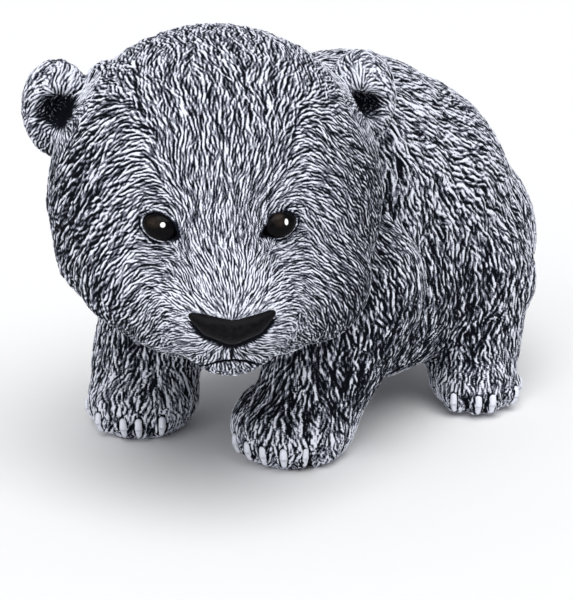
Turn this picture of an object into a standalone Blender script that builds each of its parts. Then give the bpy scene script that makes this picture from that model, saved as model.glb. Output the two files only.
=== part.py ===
"""A polar bear cub for the garden: one solid casting, walking, its big head turned to its left.

The cub faces -Y and stands with its four soles on the ground at z = 0.
Every other size is a share of the height, which is about 220 shares.
The cub is modelled in shares, and its last step scales it to its height in metres.
"""

import bpy
import bmesh
import numpy as np
from math import cos, pi, radians, sin
from mathutils import Matrix, Vector, kdtree
from mathutils.bvhtree import BVHTree

HEIGHT = 0.22

# Trunk: balls that are blended into one another, as centre and radii
TRUNK = {
    "chest": ((0, -22, 110), (60, 62, 64)),
    "withers": ((3, 36, 118), (69, 84, 72)),
    "loin": ((5, 70, 102), (72, 76, 72)),
    "rump": ((5, 97, 84), (71, 67, 60)),
    "belly": ((11, 43, 74), (65, 82, 60)),
}
TAIL_ROOT, TAIL_TIP = (6, 156, 92), (7, 166, 80)
TAIL_RADII = (13, 9)

# Head: all its parts are given from its own centre, with the face towards -Y
HEAD_CENTRE = (29.5, -74.5, 138)
HEAD_YAW, HEAD_PITCH = 51.5, -2
SKULL_RADII = (80.5, 76, 80)
CHEEK_PLACE, CHEEK_RADII = (37, -34, -22), (29, 34, 27)
MUZZLE_PLACE, MUZZLE_RADII = (0, -60, -35), (37, 37, 24)
BRIDGE_TOP, BRIDGE_TIP = (0, -50, 0), (0, -78, -28)
BRIDGE_RADII = (30, 18)
CHIN_PLACE, CHIN_RADII = (0, -71, -56), (17, 15, 11)
EAR_PLACE, EAR_RADII = (71, 8, 43), (17, 11, 23)
EAR_ROOT_PLACE, EAR_ROOT_RADIUS = (63, 9, 32), 15
EAR_HOLLOW_PLACE, EAR_HOLLOW_RADIUS, EAR_HOLLOW_DEPTH = (70, -2, 38), 14, 10
EYE_PLACE, EYE_RADIUS, EYE_PROUD = (25, 0), 9.5, 3.4
EYE_OUTWARD = 14
EYE_OPENING, EYE_TILT = (8.2, 6.4), 18
LID_GROOVE, LID_RIM = (1.5, 1.4), (2.2, 1.1)
NOSE_MIDDLE, NOSE_WING, NOSE_TIP = (0, -39.6), (13.2, -35.4), (17.2, -31)
NOSE_RADII, NOSE_PROUD = (5.2, 4.5, 2.0), 3.0
LIP_GROOVE_TOP, LIP_GROOVE_FOOT = -43, -54.5
MOUTH_HALF_WIDTH, MOUTH_DROP = 13, 4.5
MOUTH_BACK, MOUTH_HIGHEST = -60, -36
GROOVE_WIDTH, GROOVE_DEPTH = 2.2, 2.6

# Legs: from the shoulder or hip to the ankle, and a paw turned by its own yaw
LEGS = {
    "front_right": dict(hip=(-41, -31, 88), ankle=(-44, -58, 32), paw=(-40, -62), yaw=26, size=0.95),
    "front_left": dict(hip=(54, -6, 84), ankle=(48, -24, 36), paw=(42, -33), yaw=36, size=1.05),
    "hind_left": dict(hip=(44, 85, 78), ankle=(58, 90, 32), paw=(60, 86), yaw=44, size=1.0),
    "hind_right": dict(hip=(-42, 100, 78), ankle=(-52, 110, 32), paw=(-53, 106), yaw=6, size=1.0),
}
FRONT_LEG_RADII, FRONT_PAW_RADII = (38, 28), (31, 34, 23)
HIND_LEG_RADII, HIND_PAW_RADII = (40, 25), (24.5, 32, 20)
PAW_CENTRE_HEIGHT = 16
TOES = 5
TOE_FAN = 104
TOE_REACH, TOE_RADIUS, TOE_HEIGHT = 0.68, 10, 11
CLAW_TOP, CLAW_TIP = (0.99, 15), (0.93, 4)
CLAW_RADII = (2.4, 1.7)
CLAW_SKIN = 1.0

# Carved fur: locks that lie along the coat
LOCK_WIDTH, LOCK_LENGTH, LOCK_DEPTH = 10, 24, 2.0
LOCKS = 2800
COAT_SEED = 11
FACE_POINT = (0, -84, -22)
FACE_REACH, FACE_LOCK_SHARE = 90, 0.32
LIPS_PLACE, LIPS_RADII = (0, -84, -52), (18, 13, 9)
PAW_LOCK_SHARE, EAR_LOCK_SHARE = 0.5, 0.4

# The lie of the fur: back along the trunk, down the legs and the rump, fanning out over the paws
BACK_LIE, LEG_LIE, RUMP_LIE = (0, 1, -0.35), (0, -0.1, -1.15), (0, 0.3, -1.15)
LEG_COAT, RUMP_COAT = (30, 55), (150, 60)
PAW_FAN_HEIGHT, PAW_FAN_REACH, PAW_FAN_STRENGTH = 42, 48, 12
TEMPLE_BEND = 45

# Finishes: the stained and brushed stone, the painted eyes and nose, the pale claws
FINISHES = (
    ("cast stone, stained dark and brushed white", (0.30, 0.31, 0.35), 0.85),
    ("black gloss paint", (0.012, 0.011, 0.014), 0.25),
    ("white brushed claws", (0.72, 0.73, 0.76), 0.7),
)

# Surface fineness, in shares, and the triangles of the finished solid
COARSE_GRAIN, FINE_GRAIN = 3.0, 1.3
COARSE_SMOOTHING, FINE_SMOOTHING = 16, 3
TRIANGLES = 9600
DETAIL_WEIGHT, DETAIL_MOST = 14.0, 0.9
SOLE_REACH = 0.5


def turn_about_z(degrees):
    return Matrix.Rotation(radians(degrees), 4, "Z")


HEAD_TURN = turn_about_z(HEAD_YAW) @ Matrix.Rotation(radians(HEAD_PITCH), 4, "X")
HEAD_FRAME = Matrix.Translation(HEAD_CENTRE) @ HEAD_TURN


def clear_scene():
    for thing in list(bpy.data.objects):
        bpy.data.objects.remove(thing, do_unlink=True)


def add_ball(bm, centre, radii, frame=None):
    """A ball or an egg, in the given frame."""
    if isinstance(radii, (int, float)):
        radii = (radii, radii, radii)
    place = (frame or Matrix()) @ Matrix.Translation(centre) @ Matrix.Diagonal((*radii, 1))
    bmesh.ops.create_icosphere(bm, subdivisions=3 if max(radii) > 12 else 2, radius=1, matrix=place)


def add_limb(bm, start, end, radii, frame=None):
    """A tapered round limb: the hull around a ball at each end."""
    balls = bmesh.new()
    add_ball(balls, start, radii[0], frame)
    add_ball(balls, end, radii[1], frame)
    hull = bmesh.new()
    for vertex in balls.verts:
        hull.verts.new(vertex.co)
    balls.free()
    made = bmesh.ops.convex_hull(hull, input=hull.verts[:])
    bmesh.ops.delete(hull, geom=made["geom_interior"], context="VERTS")
    limb = as_mesh(hull, "limb")
    bm.from_mesh(limb)
    bpy.data.meshes.remove(limb)


def both_sides(place):
    x, y, z = place
    return (x, y, z), (-x, y, z)


def as_mesh(bm, name):
    mesh = bpy.data.meshes.new(name)
    bm.to_mesh(mesh)
    bm.free()
    return mesh


def fused(mesh, grain, smoothing):
    """The overlapping forms as one skin, smoothed so that they run into one another."""
    thing = bpy.data.objects.new("fusing", mesh)
    bpy.context.scene.collection.objects.link(thing)
    skin = thing.modifiers.new("skin", "REMESH")
    skin.mode = "VOXEL"
    skin.voxel_size = grain
    blend = thing.modifiers.new("blend", "SMOOTH")
    blend.factor = 0.5
    blend.iterations = round(smoothing)
    graph = bpy.context.evaluated_depsgraph_get()
    result = bpy.data.meshes.new_from_object(thing.evaluated_get(graph))
    bpy.data.objects.remove(thing)
    return result


def add_trunk(bm):
    for centre, radii in TRUNK.values():
        add_ball(bm, centre, radii)
    add_limb(bm, TAIL_ROOT, TAIL_TIP, TAIL_RADII)


def add_head(bm):
    add_ball(bm, (0, 0, 0), SKULL_RADII, HEAD_FRAME)
    add_ball(bm, MUZZLE_PLACE, MUZZLE_RADII, HEAD_FRAME)
    add_limb(bm, BRIDGE_TOP, BRIDGE_TIP, BRIDGE_RADII, HEAD_FRAME)
    add_ball(bm, CHIN_PLACE, CHIN_RADII, HEAD_FRAME)
    for place in both_sides(CHEEK_PLACE):
        add_ball(bm, place, CHEEK_RADII, HEAD_FRAME)


def leg_sizes(name):
    """The radii of a leg at its two ends, and those of its paw."""
    leg_radii, paw_radii = HIND_LEG_RADII, HIND_PAW_RADII
    if name.startswith("front"):
        leg_radii, paw_radii = FRONT_LEG_RADII, FRONT_PAW_RADII
    wide, long, high = paw_radii
    size = LEGS[name]["size"]
    return leg_radii, (wide * size, long * size, high)


def paw_frame(leg):
    x, y = leg["paw"]
    return Matrix.Translation((x, y, 0)) @ turn_about_z(leg["yaw"])


def add_leg(bm, name, leg):
    leg_radii, paw_radii = leg_sizes(name)
    add_limb(bm, leg["hip"], leg["ankle"], leg_radii)
    add_ball(bm, (0, 0, PAW_CENTRE_HEIGHT), paw_radii, paw_frame(leg))


def toe_directions():
    """Each toe's way out from the middle of the paw, from one side to the other."""
    for index in range(TOES):
        angle = radians(TOE_FAN * (index / (TOES - 1) - 0.5))
        yield Vector((sin(angle), -cos(angle)))


def toe_rims(name):
    """The paw's rim in front of each toe, in the paw's own frame."""
    paw_radii = leg_sizes(name)[1]
    for way in toe_directions():
        yield Vector((way.x * paw_radii[0], way.y * paw_radii[1]))


def add_toes(bm, name, leg):
    for rim in toe_rims(name):
        toe = rim * TOE_REACH
        add_ball(bm, (toe.x, toe.y, TOE_HEIGHT), TOE_RADIUS, paw_frame(leg))


def claw_limbs():
    """Every claw lies down the front of its toe."""
    for name, leg in LEGS.items():
        for rim in toe_rims(name):
            top, tip = rim * CLAW_TOP[0], rim * CLAW_TIP[0]
            yield (*top, CLAW_TOP[1]), (*tip, CLAW_TIP[1]), CLAW_RADII, paw_frame(leg)


def add_ears(bm):
    for place in both_sides(EAR_PLACE):
        add_ball(bm, place, EAR_RADII, HEAD_FRAME)
    for place in both_sides(EAR_ROOT_PLACE):
        add_ball(bm, place, EAR_ROOT_RADIUS, HEAD_FRAME)


def face_depth(tree, x, z):
    """How far forward the skin of the face lies, in the head's frame."""
    start = HEAD_FRAME @ Vector((x, -2 * SKULL_RADII[1], z))
    ahead = HEAD_TURN @ Vector((0, 1, 0))
    hit = tree.ray_cast(start, ahead)[0]
    return (HEAD_FRAME.inverted() @ hit).y


def eye_frames(tree):
    """Each eye looks along -Y of its own frame; its inner corner points down."""
    x, z = EYE_PLACE
    for side in (1, -1):
        y = face_depth(tree, side * x, z) + EYE_RADIUS - EYE_PROUD
        outward = Matrix.Rotation(radians(side * EYE_OUTWARD), 4, "Z")
        tilt = Matrix.Rotation(radians(-side * EYE_TILT), 4, "Y")
        yield HEAD_FRAME @ Matrix.Translation((side * x, y, z)) @ outward @ tilt


def nose_limbs(tree):
    """The nose pad: two wings that rise from its middle to its side tips."""
    ends = []
    for (x, z), radius in zip((NOSE_MIDDLE, NOSE_WING, NOSE_TIP), NOSE_RADII):
        proud = min(NOSE_PROUD, radius)
        ends.append((x, face_depth(tree, x, z) + radius - proud, z))
    limbs = []
    for side in (0, 1):
        middle, wing, tip = [both_sides(end)[side] for end in ends]
        limbs.append((middle, wing, NOSE_RADII[:2], HEAD_FRAME))
        limbs.append((wing, tip, NOSE_RADII[1:], HEAD_FRAME))
    return limbs


def fade(distance, reach):
    """1 at distance 0, falling smoothly to 0 at the reach."""
    share = np.clip(1 - distance / reach, 0, 1)
    return share * share * (3 - 2 * share)


def points_of(mesh):
    points = np.empty(len(mesh.vertices) * 3, dtype=np.float32)
    mesh.vertices.foreach_get("co", points)
    return points.reshape(-1, 3).astype(float)


def normals_of(mesh):
    normals = np.empty(len(mesh.vertices) * 3, dtype=np.float32)
    mesh.vertices.foreach_get("normal", normals)
    return normals.reshape(-1, 3).astype(float)


def set_points(mesh, points):
    mesh.vertices.foreach_set("co", points.astype(np.float32).ravel())
    mesh.update()


def in_frame(points, frame):
    """World points as seen from a frame."""
    back = np.array(frame.inverted())
    return points @ back[:3, :3].T + back[:3, 3]


def ways_of(frame):
    return np.array(frame)[:3, :3]


def press_ear_hollows(points, normals):
    """Each ear is hollowed from the front, low on its inner side."""
    local = in_frame(points, HEAD_FRAME)
    facing = np.clip(-normals @ ways_of(HEAD_FRAME)[:, 1], 0, 1)
    for place in both_sides(EAR_HOLLOW_PLACE):
        near = fade(np.linalg.norm(local - np.array(place), axis=1), EAR_HOLLOW_RADIUS)
        local[:, 1] += EAR_HOLLOW_DEPTH * near * facing ** 0.5
    frame = np.array(HEAD_FRAME)
    return local @ frame[:3, :3].T + frame[:3, 3]


def press_mouth(points):
    """The groove below the nose, and the mouth's low arch."""
    local = in_frame(points, HEAD_FRAME)
    x, y, z = local.T
    front = (y < MOUTH_BACK) & (z < MOUTH_HIGHEST)
    in_groove = np.clip(z, LIP_GROOVE_FOOT, LIP_GROOVE_TOP)
    groove = np.hypot(x, z - in_groove)
    along = np.clip(x, -MOUTH_HALF_WIDTH, MOUTH_HALF_WIDTH)
    arch = LIP_GROOVE_FOOT - MOUTH_DROP * (along / MOUTH_HALF_WIDTH) ** 2
    mouth = np.hypot(x - along, z - arch)
    depth = np.maximum(np.exp(-(groove / GROOVE_WIDTH) ** 2), np.exp(-(mouth / GROOVE_WIDTH) ** 2))
    local[:, 1] += np.where(front, GROOVE_DEPTH * depth, 0)
    frame = np.array(HEAD_FRAME)
    return local @ frame[:3, :3].T + frame[:3, 3]


def eye_measures(points, frame):
    """How far out from an eye's middle each point is, where 1 is the edge of the opening."""
    x, y, z = in_frame(points, frame).T
    wide, high = EYE_OPENING
    ring = np.hypot(x / wide, z / high)
    return np.where(y < 0, ring, 9.0), (wide + high) / 2


def shape_lids(points, normals, eyes):
    """A groove round each eye, and the lid's rim outside it."""
    for frame in eyes:
        ring, radius = eye_measures(points, frame)
        outside = (ring - 1) * radius
        width, depth = LID_GROOVE
        lift = -depth * np.exp(-((outside - 0.4) / width) ** 2)
        width, height = LID_RIM
        lift += height * np.exp(-((outside - 2.8) / width) ** 2)
        points = points + normals * lift[:, None]
    return points


def limb_distance(points, limb):
    """How far each point is from a tapered limb's skin."""
    start, end, radii, frame = limb
    local = in_frame(points, frame)
    start, end = np.array(start), np.array(end)
    axis = end - start
    share = np.clip((local - start) @ axis / (axis @ axis), 0, 1)
    radius = radii[0] + (radii[1] - radii[0]) * share
    return np.linalg.norm(local - start - share[:, None] * axis, axis=1) - radius


def head_share(points):
    """How far a point belongs to the head: 1 on it, 0 on the trunk."""
    local = in_frame(points, HEAD_FRAME) / np.array(SKULL_RADII)
    return fade(np.maximum(np.linalg.norm(local, axis=1) - 1.0, 0), 0.5)


def near_lips(points):
    """1 on the lips and the groove above them, fading out round them."""
    local = (in_frame(points, HEAD_FRAME) - np.array(LIPS_PLACE)) / np.array(LIPS_RADII)
    return fade(np.maximum(np.linalg.norm(local, axis=1) - 0.7, 0), 0.6)


def coat_direction(points, normals):
    """The lie of the fur: away from the nose on the head, back along the trunk, down the legs."""
    local = in_frame(points, HEAD_FRAME) - np.array(FACE_POINT)
    local[:, 0] *= 1 + np.abs(local[:, 0]) / TEMPLE_BEND
    head = local @ ways_of(HEAD_FRAME).T
    head /= np.linalg.norm(head, axis=1)[:, None]
    low = fade(points[:, 2] - LEG_COAT[0], LEG_COAT[1])
    behind = fade(RUMP_COAT[0] - points[:, 1], RUMP_COAT[1])
    back_lie = np.array(BACK_LIE)
    trunk = back_lie + low[:, None] * (LEG_LIE - back_lie) + behind[:, None] * (RUMP_LIE - back_lie)
    for leg in LEGS.values():
        away = points - np.array((*leg["paw"], PAW_FAN_HEIGHT))
        near = fade(np.hypot(away[:, 0], away[:, 1]), PAW_FAN_REACH)
        near *= fade(points[:, 2] - PAW_FAN_HEIGHT / 2, PAW_FAN_HEIGHT / 2)
        trunk += (away / PAW_FAN_STRENGTH) * near[:, None]
    trunk /= np.linalg.norm(trunk, axis=1)[:, None]
    share = head_share(points)[:, None]
    way = head * share + trunk * (1 - share)
    way -= normals * np.sum(way * normals, axis=1)[:, None]
    return way / np.maximum(np.linalg.norm(way, axis=1), 1e-6)[:, None]


def coat_depth(points, eyes, pad, claws):
    """Where the carving is full, shallow or left out."""
    local = in_frame(points, HEAD_FRAME)
    face = fade(np.linalg.norm(local - np.array(FACE_POINT), axis=1), FACE_REACH)
    depth = 1 - (1 - FACE_LOCK_SHARE) * face
    for frame in eyes:
        ring = eye_measures(points, frame)[0]
        depth *= 1 - fade(ring - 1.3, 0.7)
    for limb in pad + claws:
        depth *= 1 - fade(limb_distance(points, limb) - 1, 5)
    depth *= 1 - near_lips(points)
    for place in both_sides(EAR_HOLLOW_PLACE):
        away = np.linalg.norm(local - np.array(place), axis=1)
        depth *= 1 - (1 - EAR_LOCK_SHARE) * fade(away, EAR_HOLLOW_RADIUS)
    depth *= 1 - (1 - PAW_LOCK_SHARE) * fade(points[:, 2] - PAW_CENTRE_HEIGHT, PAW_CENTRE_HEIGHT)
    return depth * (1 - fade(points[:, 2], 5 * SOLE_REACH))


def carve_coat(points, normals, depth):
    """Locks: short ripples laid along the fur, each in its own place and phase."""
    random = np.random.default_rng(COAT_SEED)
    ways = coat_direction(points, normals)
    tree = kdtree.KDTree(len(points))
    for index, point in enumerate(points):
        tree.insert(point, index)
    tree.balance()
    height = np.zeros(len(points))
    for start in random.integers(0, len(points), LOCKS):
        phase = random.uniform(0, 2 * pi)
        stretch = random.uniform(0.85, 1.2)
        near = np.array([found[1] for found in tree.find_range(points[start], LOCK_LENGTH)])
        offset = points[near] - points[start]
        along = offset @ ways[start]
        across = offset @ np.cross(normals[start], ways[start])
        facing = np.clip(normals[near] @ normals[start], 0, 1)
        weight = np.exp(-5 * (along / LOCK_LENGTH) ** 2 - 2.2 * (across / LOCK_WIDTH) ** 2) * facing
        height[near] += weight * np.cos(2 * pi * across / (LOCK_WIDTH * stretch) + phase)
    height = np.tanh(height / (1.3 * height.std()))
    return points + normals * (LOCK_DEPTH * 0.6 * height * depth)[:, None]


def detail_weights(points, eyes, pad, claws):
    """Where the solid keeps more of its triangles: the eyes, the nose, the mouth and the claws."""
    weight = np.zeros(len(points))
    for frame in eyes:
        weight = np.maximum(weight, fade(eye_measures(points, frame)[0] - 1.2, 0.5))
    for limb in pad:
        weight = np.maximum(weight, fade(limb_distance(points, limb) - 2, 3))
    for limb in claws:
        weight = np.maximum(weight, 0.5 * fade(limb_distance(points, limb) - 1, 2))
    return np.maximum(weight, near_lips(points))


def thinned(mesh, triangles, weights):
    """The dense skin as a faceted solid with about the given number of triangles."""
    thing = bpy.data.objects.new("thinning", mesh)
    bpy.context.scene.collection.objects.link(thing)
    detail = thing.vertex_groups.new(name="detail")
    for index, weight in enumerate(weights):
        if weight > 0.01:
            detail.add([index], float(weight) * DETAIL_MOST, "REPLACE")
    thin = thing.modifiers.new("thin", "DECIMATE")
    thin.ratio = triangles / (2 * len(mesh.polygons))
    thin.vertex_group = detail.name
    thin.invert_vertex_group = True
    thin.vertex_group_factor = DETAIL_WEIGHT
    thin.use_collapse_triangulate = True
    graph = bpy.context.evaluated_depsgraph_get()
    result = bpy.data.meshes.new_from_object(thing.evaluated_get(graph))
    bpy.data.objects.remove(thing)
    return result


def flatten_soles(points):
    """Everything this close to the ground lies on it."""
    points[:, 2] = np.where(points[:, 2] < SOLE_REACH, 0, points[:, 2])
    return points


def to_metres(points):
    """Scaled to the real height, with the middle of the box over the origin."""
    lowest, highest = points.min(axis=0), points.max(axis=0)
    middle = (lowest + highest) / 2
    middle[2] = 0
    print("middle of the box, in shares:", middle.round(3), "size:", (highest - lowest).round(2))
    return (points - middle) * (HEIGHT / highest[2])


def paint(name, colour, roughness):
    """A finish: its colour, and how matt it is."""
    material = bpy.data.materials.new(name)
    material.use_nodes = True
    shader = material.node_tree.nodes["Principled BSDF"]
    shader.inputs["Base Color"].default_value = (*colour, 1)
    shader.inputs["Roughness"].default_value = roughness
    shader.inputs["Metallic"].default_value = 0.0
    return material


def finish_numbers(mesh, eyes, pad, claws):
    """Which finish each face has: 0 the stone, 1 the black paint, 2 the pale claws."""
    middles = np.array([face.center[:] for face in mesh.polygons])
    numbers = np.zeros(len(middles), dtype=np.int32)
    for frame in eyes:
        numbers[eye_measures(middles, frame)[0] < 1.0] = 1
    for limb in pad:
        numbers[limb_distance(middles, limb) < 0.5] = 1
    for limb in claws:
        numbers[limb_distance(middles, limb) < CLAW_SKIN] = 2
    return numbers


def build_cub():
    bm = bmesh.new()
    add_trunk(bm)
    add_head(bm)
    for name, leg in LEGS.items():
        add_leg(bm, name, leg)
    body = fused(as_mesh(bm, "body"), COARSE_GRAIN, COARSE_SMOOTHING)
    bm = bmesh.new()
    bm.from_mesh(body)
    tree = BVHTree.FromBMesh(bm)
    bm.free()
    eyes = list(eye_frames(tree))
    pad = nose_limbs(tree)
    claws = list(claw_limbs())
    bm = bmesh.new()
    add_ears(bm)
    for frame in eyes:
        add_ball(bm, (0, 0, 0), EYE_RADIUS, frame)
    for name, leg in LEGS.items():
        add_toes(bm, name, leg)
    for limb in pad + claws:
        add_limb(bm, *limb)
    bm.from_mesh(body)
    skin = fused(as_mesh(bm, "skin"), FINE_GRAIN, FINE_SMOOTHING)
    set_points(skin, press_mouth(press_ear_hollows(points_of(skin), normals_of(skin))))
    set_points(skin, shape_lids(points_of(skin), normals_of(skin), eyes))
    points = points_of(skin)
    points = carve_coat(points, normals_of(skin), coat_depth(points, eyes, pad, claws))
    set_points(skin, flatten_soles(points))
    solid = thinned(skin, TRIANGLES, detail_weights(points_of(skin), eyes, pad, claws))
    painted = finish_numbers(solid, eyes, pad, claws)
    set_points(solid, to_metres(flatten_soles(points_of(solid))))
    solid.shade_smooth()
    solid.name = "bear"
    bear = bpy.data.objects.new("bear", solid)
    home = bpy.data.collections.new("polar bear cub")
    bpy.context.scene.collection.children.link(home)
    home.objects.link(bear)
    solid.materials.clear()
    for finish in FINISHES:
        solid.materials.append(paint(*finish))
    solid.polygons.foreach_set("material_index", painted)
    print("bear:", len(solid.polygons), "triangles, by finish:", np.bincount(painted))


clear_scene()
build_cub()
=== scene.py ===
# %% [markdown]
# # A polar bear cub for the garden
# The real thing is one stone casting. A mould gives it the round head, the body, four heavy paws and
# thousands of carved strokes of fur. The caster then stains it charcoal, brushes white over every ridge
# with a nearly dry brush, and paints the eyes and the nose.
# We rebuild it in the same order: the big forms, the carved fur, and then the stain, the brush and the
# paint.

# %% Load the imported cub
from math import cos, pi, radians, sin

import bmesh
import bpy
import numpy as np
from mathutils import Matrix, Vector, kdtree
from mathutils.bvhtree import BVHTree


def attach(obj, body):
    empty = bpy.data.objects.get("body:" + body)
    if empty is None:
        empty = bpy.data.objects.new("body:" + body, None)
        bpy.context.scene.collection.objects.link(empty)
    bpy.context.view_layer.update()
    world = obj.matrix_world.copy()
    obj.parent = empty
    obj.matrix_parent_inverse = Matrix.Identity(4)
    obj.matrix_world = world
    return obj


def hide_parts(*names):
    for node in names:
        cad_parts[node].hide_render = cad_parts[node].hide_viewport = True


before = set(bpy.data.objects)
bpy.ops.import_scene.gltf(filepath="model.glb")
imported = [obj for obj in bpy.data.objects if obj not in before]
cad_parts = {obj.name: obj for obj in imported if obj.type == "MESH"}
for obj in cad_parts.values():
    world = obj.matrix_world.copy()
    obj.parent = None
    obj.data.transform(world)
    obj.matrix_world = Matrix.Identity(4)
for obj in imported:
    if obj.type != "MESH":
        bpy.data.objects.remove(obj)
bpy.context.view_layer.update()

# %% [markdown]
# ## Where we stand, and the light
# The cub is seen from its own left front and slightly from above, through a long lens, so that the head
# looks hardly bigger than the body. A big soft light overhead leaves the belly and the chin in shadow,
# and a pale floor throws a little of it back.

# %% Camera
PHOTO_LONG_SIDE, SENSOR, FOCAL_PIXELS = 600, 36, 1700
LOOK_AZIMUTH, LOOK_ELEVATION, LOOK_DISTANCE = 45, 17, 0.900
LOOK_AT = Vector((-0.0159, -0.0057, 0.0635))


def direction(azimuth, elevation):
    """The way to a point at this azimuth, counted from the front, and this height above the horizon."""
    a, e = radians(azimuth), radians(elevation)
    return Vector((sin(a) * cos(e), -cos(a) * cos(e), sin(e)))


def aim(thing, azimuth, elevation, distance, target=LOOK_AT):
    """Set a camera or a lamp at this distance and turn it to the target."""
    away = direction(azimuth, elevation)
    thing.location = target + away * distance
    thing.rotation_euler = away.to_track_quat("Z", "Y").to_euler()
    bpy.context.scene.collection.objects.link(thing)


camera = bpy.data.objects.new("camera", bpy.data.cameras.new("camera"))
camera.data.sensor_width = SENSOR
camera.data.lens = FOCAL_PIXELS / PHOTO_LONG_SIDE * SENSOR
aim(camera, LOOK_AZIMUTH, LOOK_ELEVATION, LOOK_DISTANCE)
bpy.context.scene.camera = camera
print("lens", round(camera.data.lens), "mm")

# %% Lights
LIGHTS = {
    "overhead": dict(azimuth=60, elevation=62, softness=50, strength=2.1),
    "front": dict(azimuth=15, elevation=30, softness=50, strength=0.75),
}
LAMP_DISTANCE = 1.3
for name, light in LIGHTS.items():
    lamp = bpy.data.lights.new(name, "SUN")
    lamp.energy, lamp.angle = light["strength"], radians(light["softness"])
    aim(bpy.data.objects.new(name, lamp), light["azimuth"], light["elevation"], LAMP_DISTANCE)

STUDIO_TINT, STUDIO_STRENGTH = (0.96, 0.97, 1.0, 1), 0.42
world = bpy.data.worlds.new("studio")
bpy.context.scene.world = world
world.use_nodes = True
background = world.node_tree.nodes["Background"]
background.inputs["Color"].default_value = STUDIO_TINT
background.inputs["Strength"].default_value = STUDIO_STRENGTH
bpy.context.scene.view_settings.view_transform = "Standard"

# %% Floor
FLOOR_SIZE, FLOOR_PALE, FLOOR_ROUGHNESS = 30, (0.92, 0.92, 0.92, 1), 0.9
bm = bmesh.new()
bmesh.ops.create_grid(bm, x_segments=1, y_segments=1, size=FLOOR_SIZE)
floor = bpy.data.objects.new("floor", bpy.data.meshes.new("floor"))
bm.to_mesh(floor.data)
bm.free()
bpy.context.scene.collection.objects.link(floor)
floor_paint = bpy.data.materials.new("pale floor")
floor_paint.use_nodes = True
floor_shader = floor_paint.node_tree.nodes["Principled BSDF"]
floor_shader.inputs["Base Color"].default_value = FLOOR_PALE
floor_shader.inputs["Roughness"].default_value = FLOOR_ROUGHNESS
floor.data.materials.append(floor_paint)

# %% [markdown]
# ## Measuring in shares
# The cub is about 218 shares high, so one share is close to a millimetre on the real statue. Every form is
# given in shares, with the cub facing -Y, and only the finished skin is turned into metres.
# The head has a frame of its own, because it looks to the cub's left.

# %% Shares and frames
CUB_HEIGHT, SHARES_HIGH = 0.22, 218.15
SHARE = CUB_HEIGHT / SHARES_HIGH
MIDDLE = np.array((16.29, 8.723, 0))
HEAD_PLACE, HEAD_TURNED, HEAD_NOD = (29.5, -74.5, 138), 51.5, -2


def turn_about_z(degrees):
    return Matrix.Rotation(radians(degrees), 4, "Z")


HEAD_TURN = turn_about_z(HEAD_TURNED) @ Matrix.Rotation(radians(HEAD_NOD), 4, "X")
HEAD = Matrix.Translation(HEAD_PLACE) @ HEAD_TURN


def in_frame(points, frame_of):
    """Points as seen from a frame."""
    back = np.array(frame_of.inverted())
    return points @ back[:3, :3].T + back[:3, 3]


def from_frame(points, frame_of):
    """Points that are given in a frame, back in the cub's own."""
    matrix = np.array(frame_of)
    return points @ matrix[:3, :3].T + matrix[:3, 3]


def both_sides(place):
    """The same place on the left and on the right."""
    x, y, z = place
    return (x, y, z), (-x, y, z)


# %% [markdown]
# ## Round forms
# A sculptor starts with balls of clay. So do we: an egg is a ball stretched three ways, and a limb is the
# hull around two balls. They may overlap freely, because they are fused afterwards.

# %% Eggs and limbs
def add_ball(bm, centre, radii, frame_of=Matrix(), fineness=3):
    if isinstance(radii, (int, float)):
        radii = (radii, radii, radii)
    place = frame_of @ Matrix.Translation(centre) @ Matrix.Diagonal((*radii, 1))
    bmesh.ops.create_icosphere(bm, subdivisions=fineness, radius=1, matrix=place)


def as_mesh(bm, name):
    mesh = bpy.data.meshes.new(name)
    bm.to_mesh(mesh)
    bm.free()
    return mesh


def add_limb(bm, start, end, radii, frame_of=Matrix(), fineness=3):
    """A tapered round limb: the hull around a ball at each end."""
    balls = bmesh.new()
    add_ball(balls, start, radii[0], frame_of, fineness)
    add_ball(balls, end, radii[1], frame_of, fineness)
    hull = bmesh.new()
    for vertex in balls.verts:
        hull.verts.new(vertex.co)
    balls.free()
    made = bmesh.ops.convex_hull(hull, input=hull.verts[:])
    bmesh.ops.delete(hull, geom=made["geom_interior"], context="VERTS")
    limb = as_mesh(hull, "limb")
    bm.from_mesh(limb)
    bpy.data.meshes.remove(limb)


# %% The trunk and the tail
TRUNK = {
    "chest": ((0, -22, 110), (60, 62, 64)),
    "withers": ((3, 38.5, 119), (69, 83, 72)),
    "loin": ((5, 68, 105), (72, 76, 73.5)),
    "rump": ((5, 97, 84), (71, 67, 60)),
    "belly": ((11, 43, 74), (65, 82, 60)),
    "haunch": ((56, 96, 68), (30, 30, 30)),
}
TAIL = dict(start=(6, 156, 92), end=(7, 166, 80), radii=(13, 9))
clay = bmesh.new()
for centre, radii in TRUNK.values():
    add_ball(clay, centre, radii)
add_limb(clay, **TAIL)
print("the trunk is made of", len(TRUNK), "eggs")

# %% The head
SKULL_PLACE, SKULL_RADII = (1.2, 0, 0), (79.3, 76, 80)
MUZZLE_PLACE, MUZZLE_RADII = (2, -60, -36), (39, 37, 26.5)
BRIDGE = dict(start=(0, -50, 0), end=(0, -78, -28), radii=(30, 18))
CHIN_PLACE, CHIN_RADII = (1.5, -71, -56), (18.5, 15, 11)
add_ball(clay, SKULL_PLACE, SKULL_RADII, HEAD)
add_ball(clay, MUZZLE_PLACE, MUZZLE_RADII, HEAD)
add_limb(clay, **BRIDGE, frame_of=HEAD)
add_ball(clay, CHIN_PLACE, CHIN_RADII, HEAD)
CHEEKS = {
    "left": ((40, -34, -32), (30, 34, 32)),
    "right": ((-37, -34, -26), (29, 34, 29)),
    "right outer": ((-44, -14, -21), (31, 34, 28)),
    "left jowl": ((23, -50, -50), (20, 26, 13)),
    "right jowl": ((-23, -50, -47.5), (20, 26, 12.5)),
}
for place, radii in CHEEKS.values():
    add_ball(clay, place, radii, HEAD)
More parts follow.
